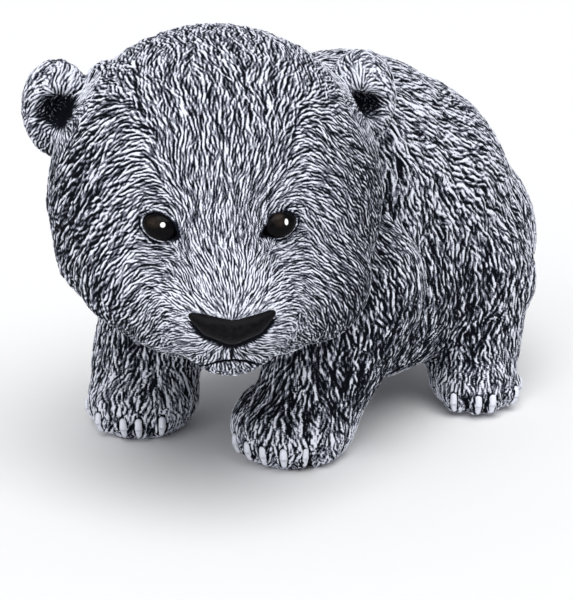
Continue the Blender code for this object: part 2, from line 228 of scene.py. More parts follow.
print("the head has", len(CHEEKS), "balls in its cheeks and jowls")

# %% The legs
LEGS = {
    "front_right": dict(hip=(-41, -31, 88), ankle=(-44, -58, 32), paw=(-40, -62), yaw=26, size=0.95,
                        toes=(-72, -28, 4, 20, 44)),
    "front_left": dict(hip=(54, -6, 84), ankle=(48, -24, 36), paw=(42, -33), yaw=36, size=1.05,
                       toes=(-60, -38, -20, 0, 20, 46)),
    "hind_left": dict(hip=(44.5, 88, 76), ankle=(58, 90, 32), paw=(60, 86), yaw=44, size=1.0,
                      toes=(-30, 2, 21, 62, 88)),
    "hind_right": dict(hip=(-42, 100, 78), ankle=(-52, 110, 32), paw=(-53, 106), yaw=6, size=1.0,
                       toes=(-52, -26, 0, 26, 52)),
}
LEG_RADII = {"front": (38, 28), "hind": (40, 25)}
PAW_RADII = {"front": (31, 34, 23), "hind": (24.5, 32, 20)}
PAW_CENTRE_HEIGHT = 16


def end_of(name):
    return name.split("_")[0]


def paw_frame(name):
    x, y = LEGS[name]["paw"]
    return Matrix.Translation((x, y, 0)) @ turn_about_z(LEGS[name]["yaw"])


def paw_radii(name):
    wide, long, high = PAW_RADII[end_of(name)]
    size = LEGS[name]["size"]
    return wide * size, long * size, high


for name, leg in LEGS.items():
    add_limb(clay, leg["hip"], leg["ankle"], LEG_RADII[end_of(name)])
    add_ball(clay, (0, 0, PAW_CENTRE_HEIGHT), paw_radii(name), paw_frame(name))
print("legs:", ", ".join(LEGS))

# %% [markdown]
# ## Fusing the clay
# A voxel remesh keeps only the outer skin of all the overlapping balls, and a smooth modifier melts the
# creases between them. A Boolean union would do the first, but its uneven faces can't carry fine strokes.
# It is done twice: coarsely for the body, and finely once ears and toes are on.

# %% Fuse
COARSE_GRAIN, COARSE_SMOOTHING = 3.0, 16
FINE_GRAIN, FINE_SMOOTHING = 1.1, 5
SMOOTHING_FACTOR = 0.5


def fused(mesh, grain, smoothing):
    """One closed skin round all the forms of a mesh."""
    thing = bpy.data.objects.new("fusing", mesh)
    bpy.context.scene.collection.objects.link(thing)
    skin = thing.modifiers.new("skin", "REMESH")
    skin.mode = "VOXEL"
    skin.voxel_size = grain
    blend = thing.modifiers.new("blend", "SMOOTH")
    blend.factor = SMOOTHING_FACTOR
    blend.iterations = smoothing
    graph = bpy.context.evaluated_depsgraph_get()
    result = bpy.data.meshes.new_from_object(thing.evaluated_get(graph))
    bpy.data.objects.remove(thing)
    return result


body = fused(as_mesh(clay, "body"), COARSE_GRAIN, COARSE_SMOOTHING)
seen = bmesh.new()
seen.from_mesh(body)
body_tree = BVHTree.FromBMesh(seen)
seen.free()
print("the fused body has", len(body.polygons), "faces")

# %% [markdown]
# ## Finding the face
# Eyes and nose sit on the skin, so a ray shot from in front of the face finds how deep the skin lies there.
# The cast face isn't quite even: each eye has its own tilt and its own opening, and the nose sits a little
# to one side.

# %% The eyes' places
IN_FRONT = -200


def face_depth(x, z):
    """How far forward the skin of the face lies, in the head's frame."""
    start = HEAD @ Vector((x, IN_FRONT, z))
    hit = body_tree.ray_cast(start, HEAD_TURN @ Vector((0, 1, 0)))[0]
    return (HEAD.inverted() @ hit).y


EYE_PLACE, EYE_SHIFT, EYE_SINK, EYE_OUTWARD = (24.2, 0.3), -2.3, 6.1, 14
EYE_SHAPES = {1: dict(opening=(7.1, 4.7), tilt=14, corner=0.22, point=0.45),
              -1: dict(opening=(7.2, 5.0), tilt=20, corner=0.08, point=0.25)}


def eye_frame(side, tilt=None):
    """An eye looks along -Y of its own frame; its inner corner points down."""
    tilt = EYE_SHAPES[side]["tilt"] if tilt is None else tilt
    x, z = side * EYE_PLACE[0] + EYE_SHIFT, EYE_PLACE[1]
    y = face_depth(x, z) + EYE_SINK
    outward = Matrix.Rotation(radians(side * EYE_OUTWARD), 4, "Z")
    turned = Matrix.Rotation(radians(-side * tilt), 4, "Y")
    return HEAD @ Matrix.Translation((x, y, z)) @ outward @ turned


EYES = {"eye_left": (1, eye_frame(1)), "eye_right": (-1, eye_frame(-1))}
for name, (side, place) in EYES.items():
    print(name, "lies at", [round(v, 1) for v in place.translation], "shares")

# %% The nose's place
NOSE_PLACES = {"middle": ((0.3, -39.9), 6.6), "wing": ((9.4, -37.5), 4.8), "tip": ((17.2, -33.2), 1.6)}
NOSE_PROUD, NOSE_SHIFT = 3.0, 0.8


def nose_limbs():
    """The nose pad: two wings that rise from its middle to its side tips."""
    ends = []
    for (x, z), radius in NOSE_PLACES.values():
        ends.append((x, face_depth(x, z) + radius - min(NOSE_PROUD, radius), z))
    radii = [radius for place, radius in NOSE_PLACES.values()]
    limbs = []
    for side in (0, 1):
        middle, wing, tip = [Vector(both_sides(end)[side]) + Vector((NOSE_SHIFT, 0, 0)) for end in ends]
        limbs += [(middle, wing, radii[:2], HEAD), (wing, tip, radii[1:], HEAD)]
    return limbs


NOSE = nose_limbs()
print("the nose pad's middle lies at", [round(v, 1) for v in NOSE[0][0]], "in the head's frame")

# %% [markdown]
# ## Ears and toes
# The ears and toes would melt away in the coarse fuse, so they are added after it. Each ear is an egg
# with a ball of filler at its root, and each toe is a small ball near the paw's rim.

# %% Ears and toes
EAR_PLACE, EAR_RADII = (71, 8, 43), (17, 11, 23)
EAR_ROOT, EAR_ROOT_RADIUS = (61, 9, 35), 17
RIGHT_EAR_ROOT, RIGHT_EAR_ROOT_RADIUS = (-47, 6, 52), 11
EAR_HOLLOWS = (((69, -2, 40.5), 0.52), ((-69, -2, 40.3), 0.68))
EAR_HOLLOW_RADIUS, EAR_HOLLOW_DEPTH = 17, 12
RIGHT_EAR_LOWER = 2.2
TOE_REACH, TOE_RADIUS, TOE_HEIGHT = 0.68, 10, 11


def both_ears(place):
    """The real cub's right ear sits a little lower than its left one."""
    x, y, z = place
    return (x, y, z), (-x, y, z - RIGHT_EAR_LOWER)


def toe_angles(name):
    return [radians(angle) for angle in LEGS[name]["toes"]]


def rim(name, angle):
    """The paw's rim in this direction, in the paw's own frame."""
    wide, long = paw_radii(name)[:2]
    return Vector((sin(angle) * wide, -cos(angle) * long))


clay = bmesh.new()
for place in both_ears(EAR_PLACE):
    add_ball(clay, place, EAR_RADII, HEAD)
for place in both_sides(EAR_ROOT):
    add_ball(clay, place, EAR_ROOT_RADIUS, HEAD)
add_ball(clay, RIGHT_EAR_ROOT, RIGHT_EAR_ROOT_RADIUS, HEAD)
for name in LEGS:
    for angle in toe_angles(name):
        toe = rim(name, angle) * TOE_REACH
        add_ball(clay, (toe.x, toe.y, TOE_HEIGHT), TOE_RADIUS, paw_frame(name), 2)
clay.from_mesh(body)
skin = fused(as_mesh(clay, "skin"), FINE_GRAIN, FINE_SMOOTHING)
print("the fine skin has", len(skin.polygons), "faces")

# %% [markdown]
# ## A finer grain for the front of the head
# The strokes on the face are half as wide as those on the body, so only there each polygon of the skin is
# divided into four. Round the nose and the mouth, where the groove of the lips is finer still, they are
# divided once more.

# %% Divide the skin of the face and of the muzzle
FACE_BACK, FACE_CENTRE, FACE_RADII = 6, (0, 0, 0), (98, 98, 86)
LIPS_CENTRE, LIPS_RADII = (0.5, -90, -34), (30, 40, 28)


def points_of(mesh, what="co"):
    values = np.empty(len(mesh.vertices) * 3, dtype=np.float32)
    mesh.vertices.foreach_get(what, values)
    return values.reshape(-1, 3).astype(float)


def set_points(mesh, points):
    mesh.vertices.foreach_set("co", points.astype(np.float32).ravel())
    mesh.update()


def in_egg(local, centre, radii):
    """Which points lie inside an egg."""
    return np.linalg.norm((local - np.array(centre)) / np.array(radii), axis=1) < 1


def divide(mesh, chosen):
    """Divide the polygons between the chosen points into four."""
    bm = bmesh.new()
    bm.from_mesh(mesh)
    bm.verts.ensure_lookup_table()
    edges = [edge for edge in bm.edges if chosen[edge.verts[0].index] and chosen[edge.verts[1].index]]
    bmesh.ops.subdivide_edges(bm, edges=edges, cuts=1, use_grid_fill=True)
    bm.to_mesh(mesh)
    bm.free()


local = in_frame(points_of(skin), HEAD)
divide(skin, (local[:, 1] < FACE_BACK) & in_egg(local, FACE_CENTRE, FACE_RADII))
divide(skin, in_egg(in_frame(points_of(skin), HEAD), LIPS_CENTRE, LIPS_RADII))
print("with the finer face it has", len(skin.polygons), "faces")

# %% [markdown]
# ## Pressing in the ears, the mouth, the eyes and the toes
# The mould's deep places are pressed into the skin: each point moves by an amount that depends only on
# where it lies. A fade and a bell are the tools for all of them: 1 at the middle, falling smoothly to 0.

# %% Fade and bell
def fade(distance, reach):
    """1 up to distance 0, falling smoothly to 0 at the reach."""
    share = np.clip(1 - distance / reach, 0, 1)
    return share * share * (3 - 2 * share)


def bell(distance, width):
    """1 at distance 0, falling on both sides like a bell."""
    return np.exp(-(distance / width) ** 2)


# %% The ears' hollows
EAR_FLATNESS = 0.8


def ear_nearness(local, reach=EAR_HOLLOW_RADIUS, flat=0.0):
    """1 in the middle of either ear's hollow, 0 beyond the reach; a flat one has the hollow's low shape."""
    near = np.zeros(len(local))
    for place, height in EAR_HOLLOWS:
        away = (local - np.array(place)) / np.array((1, 1, 1 + flat * (height - 1)))
        near = np.maximum(near, fade(np.linalg.norm(away, axis=1), reach))
    return near


def press_ears(points, normals):
    """Only the skin that faces forwards sinks, so that the back of the ear stays round."""
    local = in_frame(points, HEAD)
    facing = np.clip(-normals @ np.array(HEAD)[:3, 1], 0, 1)
    local[:, 1] += EAR_HOLLOW_DEPTH * ear_nearness(local, flat=EAR_FLATNESS) * facing ** 0.5
    return from_frame(local, HEAD)


# %% The mouth's groove
LIP_TOP, LIP_FOOT, MOUTH_HALF_WIDTH, MOUTH_DROP = -43, -55.4, 15, 6.5
GROOVE_WIDTH, GROOVE_TAPER, GROOVE_DEPTH = 0.6, 0.35, 1.5
UPRIGHT_WIDTH, UPRIGHT_DEPTH = 0.7, 0.7
MOUTH_BACK, MOUTH_ABOVE = -60, -36


def mouth_groove(local):
    """1 along the middle of the groove below the nose and of the mouth's low arch."""
    x, y, z = local.T
    x = x - NOSE_SHIFT
    groove = np.hypot(x, z - np.clip(z, LIP_FOOT, LIP_TOP))
    along = np.clip(x, -MOUTH_HALF_WIDTH, MOUTH_HALF_WIDTH)
    aside = (along / MOUTH_HALF_WIDTH) ** 2
    arch = np.hypot(x - along, z - LIP_FOOT + MOUTH_DROP * aside)
    front = (y < MOUTH_BACK) & (z < MOUTH_ABOVE)
    upright = UPRIGHT_DEPTH * bell(groove, UPRIGHT_WIDTH)
    lips = np.maximum(upright, bell(arch, GROOVE_WIDTH * (1 - GROOVE_TAPER * aside)))
    return np.where(front, lips, 0)


def press_mouth(points):
    local = in_frame(points, HEAD)
    local[:, 1] += GROOVE_DEPTH * mouth_groove(local)
    return from_frame(local, HEAD)


# %% The eyes' sockets and lids
FAR_AWAY, NEAR_THE_EYE = 9.0, 3
SOCKET_DEPTH, SOCKET_EDGE, SOCKET_SOFTNESS = 2.6, 0.92, 0.16
LID = dict(height=0.7, out=1.0, width=0.8)
LID_CREASE = dict(depth=0.35, out=2.4, width=0.7)


def eye_ring(points, side, frame_of):
    """1 at the edge of an eye's opening, less inside it, more outside; pointed at the inner corner."""
    x, y, z = in_frame(points, frame_of).T
    wide, high = EYE_SHAPES[side]["opening"]
    inward = np.clip(-side * x / wide, 0, 1)
    corner, point = EYE_SHAPES[side]["corner"], EYE_SHAPES[side]["point"]
    stretched = np.hypot(x / (wide * (1 + corner * inward)), z / (high * (1 - point * inward ** 2)))
    return np.where(y < 0, stretched, FAR_AWAY)


def press_eyes(points, normals):
    """The skin sinks behind each eyeball, and the lids stand up round it."""
    for side, frame_of in EYES.values():
        radius = sum(EYE_SHAPES[side]["opening"]) / 2
        ring = eye_ring(points, side, frame_of)
        outside = (ring - 1) * radius
        lift = -SOCKET_DEPTH * fade(ring - SOCKET_EDGE, SOCKET_SOFTNESS)
        lid = LID["height"] * bell(outside - LID["out"], LID["width"])
        lift += lid - LID_CREASE["depth"] * bell(outside - LID_CREASE["out"], LID_CREASE["width"])
        points = points + normals * np.where(ring < NEAR_THE_EYE, lift, 0)[:, None]
    return points


set_points(skin, press_mouth(press_ears(points_of(skin), points_of(skin, "normal"))))
set_points(skin, press_eyes(points_of(skin), points_of(skin, "normal")))
print("ears, mouth and eyes are pressed in")

# %% Part the toes
TOE_GROOVE_WIDTH, TOE_GROOVE_DEPTH = 1.6, 2.2
TOE_GROOVE_EDGE, TOE_GROOVE_REACH = 1.02, 0.3
TOE_GROOVE_LOW, TOE_GROOVE_RISE, FULL_GROOVE_ANGLE = 8, 14, 30
BEHIND_THE_PAW = 99


def toe_grooves(points):
    """1 in the middle of the grooves between the toes."""
    deepest = np.zeros(len(points))
    for name in LEGS:
        x, y, z = in_frame(points, paw_frame(name)).T
        wide, long = paw_radii(name)[:2]
        out = np.hypot(x / wide, y / long)
        for first, second in zip(toe_angles(name), toe_angles(name)[1:]):
            way = rim(name, (first + second) / 2).normalized()
            across = np.where(x * way.x + y * way.y > 0, x * way.y - y * way.x, BEHIND_THE_PAW)
            near_rim = fade(TOE_GROOVE_EDGE - out, TOE_GROOVE_REACH)
            groove = bell(across, TOE_GROOVE_WIDTH) * near_rim
            groove *= min(1, (second - first) / radians(FULL_GROOVE_ANGLE))
            low = fade(z - TOE_GROOVE_LOW, TOE_GROOVE_RISE)
            deepest = np.maximum(deepest, groove * low)
    return deepest


points = points_of(skin)
set_points(skin, points - points_of(skin, "normal") * (TOE_GROOVE_DEPTH * toe_grooves(points))[:, None])
print("the toes are parted")

# %% Where the claws lie
CLAWS_PER_PAW, OUTSIDE_THE_PAW = 5, 1.5
CLAW_HEIGHTS, CLAW_RADII, CLAW_SINK = (12.9, 9.2, 5.4), (1.8, 2.0, 1.5), 0.45
shape = bmesh.new()
shape.from_mesh(skin)
skin_tree = BVHTree.FromBMesh(shape)
shape.free()


def on_paw(name, angle, height):
    """The point of a paw's skin in this direction and at this height, in the paw's own frame."""
    frame_of, outside = paw_frame(name), rim(name, angle) * OUTSIDE_THE_PAW
    start = frame_of @ Vector((*outside, height))
    hit = skin_tree.ray_cast(start, frame_of.to_3x3() @ Vector((*-outside, 0)))[0]
    return frame_of.inverted() @ hit


def claw_limbs(name):
    """The claws of one paw: each two short limbs in a row, sunk a little in the skin."""
    limbs = []
    for angle in toe_angles(name)[:CLAWS_PER_PAW]:
        inward = Vector((*-rim(name, angle), 0)).normalized() * CLAW_SINK
        top, middle, tip = [tuple(on_paw(name, angle, height) + inward) for height in CLAW_HEIGHTS]
        limbs.append((top, middle, CLAW_RADII[:2], paw_frame(name)))
        limbs.append((middle, tip, CLAW_RADII[1:], paw_frame(name)))
    return limbs


CLAW_LIMBS = {name: claw_limbs(name) for name in LEGS}
print("claws on", ", ".join(CLAW_LIMBS))

# %% [markdown]
# ## The lie of the fur
# Fur has a direction at every point. It runs away from the nose over the head, bends outward over the
# temples, falls down the cheeks, spreads out of each ear's hollow, runs back along the trunk and down the
# legs, and fans out over the paws. The directions are blended, and then laid flat on the skin.

# %% Where the head ends
SPRING_X, SPRING_Z = 0.5, -38
NOSE_POINT = np.array((SPRING_X, face_depth(SPRING_X, SPRING_Z), SPRING_Z))
MUZZLE_BACK, MUZZLE_LENGTH, MUZZLE_GAIN, NECK_REACH = -40, 30, 0.45, 0.34


def head_share(points):
    """1 on the head, 0 on the trunk. The muzzle stands out of the skull, so it gets a longer reach."""
    local = in_frame(points, HEAD)
    beyond = np.linalg.norm(local / np.array(SKULL_RADII), axis=1) - 1
    beyond -= MUZZLE_GAIN * np.clip((MUZZLE_BACK - local[:, 1]) / MUZZLE_LENGTH, 0, 1)
    return fade(beyond, NECK_REACH)


# %% The fur of the head
TEMPLE = dict(x=50, wide=36, z=20, high=48, bend=0.8)
CHEEK_FALL = dict(x=18, wide=30, z=30, high=42, pull=1.3)
RUFF = dict(x=86, wide=26, y=-2, deep=14, z=-4, high=60, way=(0, 0.25, -1))
EAR_SPREAD, EAR_SPREAD_EDGE = 18, 14


def lie_on_head(points):
    """Away from the nose, out over the temples, down the cheeks and the ruff, and out of the ears."""
    local = in_frame(points, HEAD)
    x, y, z = local.T
    aside = np.abs(x)
    away = local - NOSE_POINT
    bend = TEMPLE["bend"] * fade(np.abs(aside - TEMPLE["x"]), TEMPLE["wide"])
    away[:, 0] *= 1 + bend * fade(np.abs(z - TEMPLE["z"]), TEMPLE["high"])
    away /= np.linalg.norm(away, axis=1)[:, None]
    pull = CHEEK_FALL["pull"] * (1 - fade(aside - CHEEK_FALL["x"], CHEEK_FALL["wide"]))
    away[:, 2] -= pull * fade(z - CHEEK_FALL["z"], CHEEK_FALL["high"])
    ruff = fade(RUFF["x"] - aside, RUFF["wide"]) * fade(RUFF["y"] - y, RUFF["deep"])
    ruff = (ruff * fade(np.abs(z - RUFF["z"]), RUFF["high"]))[:, None]
    away = away * (1 - ruff) + np.array(RUFF["way"]) * ruff
    for place, _ in EAR_HOLLOWS:
        spread = local - np.array(place)
        distance = np.linalg.norm(spread, axis=1)
        on_ear = fade(distance - EAR_SPREAD, EAR_SPREAD_EDGE)[:, None]
        away = away * (1 - on_ear) + spread / np.maximum(distance, 1)[:, None] * on_ear
    return away @ np.array(HEAD)[:3, :3].T


EYE_STREAM = dict(radius=11, wide=11, strength=0.9)


def round_the_eyes(points, lie):
    """Fur parts round each eye like a stream round a stone."""
    for side, frame_of in EYES.values():
        spread = points - np.array(frame_of)[:3, 3]
        distance = np.linalg.norm(spread, axis=1)
        spread /= np.maximum(distance, 1)[:, None]
        near = EYE_STREAM["strength"] * fade(distance - EYE_STREAM["radius"], EYE_STREAM["wide"])
        lie = lie - spread * (near * np.sum(spread * lie, axis=1))[:, None]
    return lie


# %% The fur of the body
ALONG_THE_BACK, DOWN_THE_LEGS, DOWN_THE_TAIL = [
    np.array(way) for way in ((0, 1, -0.35), (0, -0.1, -1.15), (0, 0.3, -1.15))]
FLANK = dict(z=55, high=100)
CHEST = dict(y=5, deep=75, strength=0.65)
TAIL_END = dict(y=150, deep=60)
PAW_FAN = dict(top=42, wide=48, z=21, high=21, slope=12)


def lie_on_body(points):
    """Back along the trunk, down the chest, the legs and the tail, and out over the paws."""
    low = fade(points[:, 2] - FLANK["z"], FLANK["high"])[:, None]
    behind = fade(TAIL_END["y"] - points[:, 1], TAIL_END["deep"])[:, None]
    front = CHEST["strength"] * fade(points[:, 1] - CHEST["y"], CHEST["deep"])[:, None]
    low = low + front * (1 - low)
    lie = ALONG_THE_BACK + low * (DOWN_THE_LEGS - ALONG_THE_BACK)
    lie = lie + behind * (DOWN_THE_TAIL - ALONG_THE_BACK)
    for leg in LEGS.values():
        away = points - np.array((*leg["paw"], PAW_FAN["top"]))
        near = fade(np.hypot(away[:, 0], away[:, 1]), PAW_FAN["wide"])
        near *= fade(points[:, 2] - PAW_FAN["z"], PAW_FAN["high"])
        lie += away / PAW_FAN["slope"] * near[:, None]
    return lie / np.linalg.norm(lie, axis=1)[:, None]


# %% Which way the fur lies
WAVE_COUNT, WAVE_LENGTHS, WAVE_LEVEL = 7, (0.6, 1.4), 2.6
SLOW_TURN, QUICK_TURN, CALMER_ON_HEAD = 0.16, 0.34, 0.2
SLOW_WAVE, QUICK_WAVE = dict(length=26, seed=3), dict(length=10, seed=4)


def waves(points, length, seed):
    """A slow, smooth unevenness between about -1 and 1, with hills of roughly the given length."""
    random = np.random.default_rng(seed)
    total = np.zeros(len(points))
    for count in range(WAVE_COUNT):
        way = random.normal(size=3)
        way *= random.uniform(*WAVE_LENGTHS) * 2 * pi / length / np.linalg.norm(way)
        total += np.sin(points @ way + random.uniform(0, 2 * pi))
    return total / WAVE_LEVEL


def lie_of_fur(points, normals):
    """Head and body blended, laid flat on the skin and turned a little here and there."""
    share = head_share(points)[:, None]
    way = round_the_eyes(points, lie_on_head(points)) * share + lie_on_body(points) * (1 - share)
    way -= normals * np.sum(way * normals, axis=1)[:, None]
    way /= np.maximum(np.linalg.norm(way, axis=1), 1e-6)[:, None]
    turn = SLOW_TURN * waves(points, **SLOW_WAVE)
    turn = turn + (QUICK_TURN - CALMER_ON_HEAD * share[:, 0]) * waves(points, **QUICK_WAVE)
    return way * np.cos(turn)[:, None] + np.cross(normals, way) * np.sin(turn)[:, None]


# %% [markdown]
# ## Carving the strokes
# Each stroke of the sculptor's tool is a short ripple that runs along the fur. Thousands of them are laid
# at random, and where they overlap they branch and merge like real carved fur. They are finest on the
# muzzle, coarser on the forehead and the body.

# %% How far apart the strokes are
FACE_STROKE, HEAD_STROKE, BODY_STROKE, PAW_STROKE, EAR_STROKE = 1.3, 1.95, 2.75, 2.3, 1.6
FACE_MIDDLE, FACE_FROM, FACE_TO = -22, 26, 62
NAPE_FROM, NAPE_TO = 4, 10
RIGHT_CHEEK = dict(x=-68, wide=42, coarser=0.9)
EAR_FROM, EAR_EDGE = 42, 1.7
PAW_TOP, PAW_EDGE = 20, 50


def stroke_gap(points):
    """How far apart the strokes lie: closest on the muzzle, widest on the body."""
    local = in_frame(points, HEAD)
    away = np.hypot(local[:, 0], local[:, 2] - FACE_MIDDLE)
    face = FACE_STROKE + (HEAD_STROKE - FACE_STROKE) * (1 - fade(away - FACE_FROM, FACE_TO))
    face += (BODY_STROKE - face) * fade(NAPE_FROM - local[:, 1], NAPE_TO)
    face += RIGHT_CHEEK["coarser"] * fade(np.abs(local[:, 0] - RIGHT_CHEEK["x"]), RIGHT_CHEEK["wide"])
    share = head_share(points)
    gap = face * share + BODY_STROKE * (1 - share)
    gap += (EAR_STROKE - gap) * np.clip(EAR_EDGE * ear_nearness(local, EAR_FROM), 0, 1)
    return gap + (PAW_STROKE - gap) * fade(points[:, 2] - PAW_TOP, PAW_EDGE)


# %% Where there are no strokes
BARE_LIDS, BARE_LIDS_EDGE = 1.16, 0.2
BARE_BY_NOSE, BARE_IN_MOUTH, BARE_SOLES = 1.6, 0.9, 3


def where_carved(points):
    """1 where the fur is fully carved, 0 on the lids, beside the nose, in the mouth and on the soles."""
    depth = np.ones(len(points))
    for side, frame_of in EYES.values():
        depth *= 1 - fade(eye_ring(points, side, frame_of) - BARE_LIDS, BARE_LIDS_EDGE)
    depth *= 1 - fade(nose_distance(points), BARE_BY_NOSE)
    depth *= 1 - BARE_IN_MOUTH * mouth_groove(in_frame(points, HEAD))
    return depth * (1 - fade(points[:, 2], BARE_SOLES))


# %% How far from the nose and from the claws
NO_CLAW_NEAR, CLAWS_BELOW = 99.0, 30


def limb_distance(points, limb):
    """How far each point is from a tapered limb's skin."""
    start, end, radii, frame_of = limb
    start, end = np.array(start), np.array(end)
    local = in_frame(points, frame_of) - start
    axis = end - start
    share = np.clip(local @ axis / (axis @ axis), 0, 1)
    radius = radii[0] + (radii[1] - radii[0]) * share
    return np.linalg.norm(local - share[:, None] * axis, axis=1) - radius


def nose_distance(points):
    return np.min([limb_distance(points, limb) for limb in NOSE], axis=0)


def claw_distance(points):
    limbs = [limb for limbs in CLAW_LIMBS.values() for limb in limbs]
    distance = np.full(len(points), NO_CLAW_NEAR)
    low = points[:, 2] < CLAWS_BELOW
    distance[low] = np.min([limb_distance(points[low], limb) for limb in limbs], axis=0)
    return distance


# %% How a stroke is laid
GAP_SPREAD, STROKE_REACH, LONE_STROKE = (0.85, 1.15), 1.75, 0.05


def point_areas(mesh):
    """The skin that belongs to each point."""
    corners = np.empty(len(mesh.loops), dtype=np.int32)
    mesh.loops.foreach_get("vertex_index", corners)
    sizes = np.empty(len(mesh.polygons), dtype=np.int32)
    mesh.polygons.foreach_get("loop_total", sizes)
    areas = np.empty(len(mesh.polygons), dtype=np.float32)
    mesh.polygons.foreach_get("area", areas)
    return np.bincount(corners, np.repeat(areas / sizes, sizes), len(mesh.vertices))


def stroke_field(points, normals, ways, gaps, lengths, areas, seed, overlap, width=0.65, unevenness=0.34):
    """The strokes' height at each point, about 1 on a ridge and -1 in a groove. Lengths are in gaps."""
    random = np.random.default_rng(seed)
    tree = kdtree.KDTree(len(points))
    for index, point in enumerate(points):
        tree.insert(point, index)
    tree.balance()
    chance = areas / gaps ** 2 / lengths
    count = int(overlap * chance.sum() / (pi * width))
    height, power = np.zeros(len(points)), np.zeros(len(points))
    sides = np.cross(normals, ways)
    for start in random.choice(len(points), count, p=chance / chance.sum()):
        gap, length = gaps[start] * random.uniform(*GAP_SPREAD), lengths[start]
        turn, phase = random.normal(0, unevenness / length), random.uniform(0, 2 * pi)
        way = ways[start] * cos(turn) + sides[start] * sin(turn)
        side = sides[start] * cos(turn) - ways[start] * sin(turn)
        found = tree.find_range(points[start], STROKE_REACH * length * gap)
        near = np.fromiter((item[1] for item in found), np.int64, len(found))
        offset = points[near] - points[start]
        along, across = offset @ way, offset @ side
        weight = bell(along, length * gap) * bell(across, width * gap)
        weight *= np.clip(normals[near] @ normals[start], 0, 1)
        height[near] += weight * np.cos(2 * pi * across / gap + phase)
        power[near] += weight * weight
    print(count, "strokes of", round(float(gaps.min()), 1), "to", round(float(gaps.max()), 1), "shares")
    return height / np.sqrt(power + LONE_STROKE)


# %% Lay the strokes
STROKE_SEED, STROKES_OVERLAP, STROKE_CONTRAST = 21, 3.2, 1.1
TUFT_SEED, TUFTS_OVERLAP, TUFT_GAPS, TUFT_WIDTH = 22, 2.2, 3.2, 0.7
SHORTEST, LONGER_ON_FACE, FULL_LENGTH_GAP, LENGTH_RANGE = 1.1, 0.9, 2.1, 0.8
points, normals = points_of(skin), points_of(skin, "normal")
ways, areas = lie_of_fur(points, normals), point_areas(skin)
gaps = stroke_gap(points)
lengths = SHORTEST + LONGER_ON_FACE * np.clip((FULL_LENGTH_GAP - gaps) / LENGTH_RANGE, 0, 1)
even = np.ones(len(points))
strokes = np.tanh(STROKE_CONTRAST * stroke_field(
    points, normals, ways, gaps, lengths, areas, STROKE_SEED, STROKES_OVERLAP))
tufts = np.tanh(stroke_field(
    points, normals, ways, gaps * TUFT_GAPS, even, areas, TUFT_SEED, TUFTS_OVERLAP, TUFT_WIDTH))
carved = where_carved(points)
print("strokes between", strokes.min().round(2), "and", strokes.max().round(2))

# %% Raise the skin
STROKE_HEIGHT, TUFT_HEIGHT, SOLE_HEIGHT = 0.17, 0.16, 0.5
lift = (STROKE_HEIGHT * strokes + TUFT_HEIGHT * tufts) * gaps * carved
points = points + normals * lift[:, None]
points[:, 2] = np.where(points[:, 2] < SOLE_HEIGHT, 0, points[:, 2])
set_points(skin, points)
print("the deepest stroke is", round(float(-lift.min()) * SHARE * 1000, 2), "mm deep")

# %% [markdown]
# ## What the brush and the stain will need
# The stain stays in the grooves and the brush only touches the ridges, so the materials must know how high
# each point lies. The height is kept on the skin as an attribute, and so are two slow masks: one where the
# stain was left thick, with painted shade added on the lower trunk, the legs and the outer cheeks, and
# `pale` where the brush went over twice. `broad` and `lie` tell the brush how wide its streaks are and
# which way they run.

# %% Masks round the eyes
RIM_EDGE, RIM_SOFT = 1.06, 0.1
UNDER_LID = dict(ring=1.38, wide=0.07, black=0.5)
UPPER_LID = dict(ring=1.2, wide=0.08, black=0.3)
WHITE_LID = dict(ring=1.2, wide=0.06, white=0.9)
LID_LEVEL, LID_ASIDE, LID_BELOW = 0.4, 20, 8


def eye_masks(points):
    """Where the rims of the eyes are black, and where the lids are brushed white."""
    black, white = np.zeros(len(points)), np.zeros(len(points))
    for side, frame_of in EYES.values():
        ring = eye_ring(points, side, frame_of)
        local = in_frame(points, frame_of)
        low = np.clip(LID_LEVEL + side * local[:, 0] / LID_ASIDE - local[:, 2] / LID_BELOW, 0, 1) ** 2
        under = UNDER_LID["black"] * bell(ring - UNDER_LID["ring"], UNDER_LID["wide"]) * low
        upper = UPPER_LID["black"] * bell(ring - UPPER_LID["ring"], UPPER_LID["wide"]) * (1 - low)
        black = np.maximum.reduce([black, fade(ring - RIM_EDGE, RIM_SOFT), under, upper])
        bright = WHITE_LID["white"] * bell(ring - WHITE_LID["ring"], WHITE_LID["wide"]) * low
        white = np.maximum(white, bright)
    return black, white


# %% Shade under the belly
SHADE, SHADE_TOP, SHADE_HIGH = 0.05, 70, 70
PAWS_TOP, PAWS_EDGE = 13, 18
SHELTERED = dict(stain_and_shade=0.13, x=25, wide=30, y=60, long=30, z=80, high=30)

local = in_frame(points, HEAD)
trunk = 1 - head_share(points)
above_paws = 1 - fade(points[:, 2] - PAWS_TOP, PAWS_EDGE)
shade = SHADE * trunk * fade(points[:, 2] - SHADE_TOP, SHADE_HIGH) * above_paws
sheltered = fade(SHELTERED["x"] - points[:, 0], SHELTERED["wide"])
sheltered = sheltered * fade(points[:, 1] - SHELTERED["y"], SHELTERED["long"])
low = fade(points[:, 2] - SHELTERED["z"], SHELTERED["high"])
shade += SHELTERED["stain_and_shade"] * trunk * sheltered * low * above_paws

# %% Stain in the hollows and grooves, and painted shade
# The cheeks' entry is no stain: it is painted shade on the outer rim of the head.
STAIN_AND_SHADE = dict(ears=0.9, mouth=0.65, eyes=1.2, toes=0.7, nose=0.8, claws=0.55, cheeks=0.2)
EAR_SOOT_RADIUS, NOSE_SOOT_REACH, NOSE_SOOT_TOP = 17.5, 3.5, -36
CLAW_SOOT_OUT, CLAW_SOOT_REACH = 0.3, 1.2
CHEEK_SHADE_RADIUS, CHEEK_SHADE_EDGE, CHEEK_SHADE_TOP, CHEEK_SHADE_HIGH = 82, 40, 10, 50

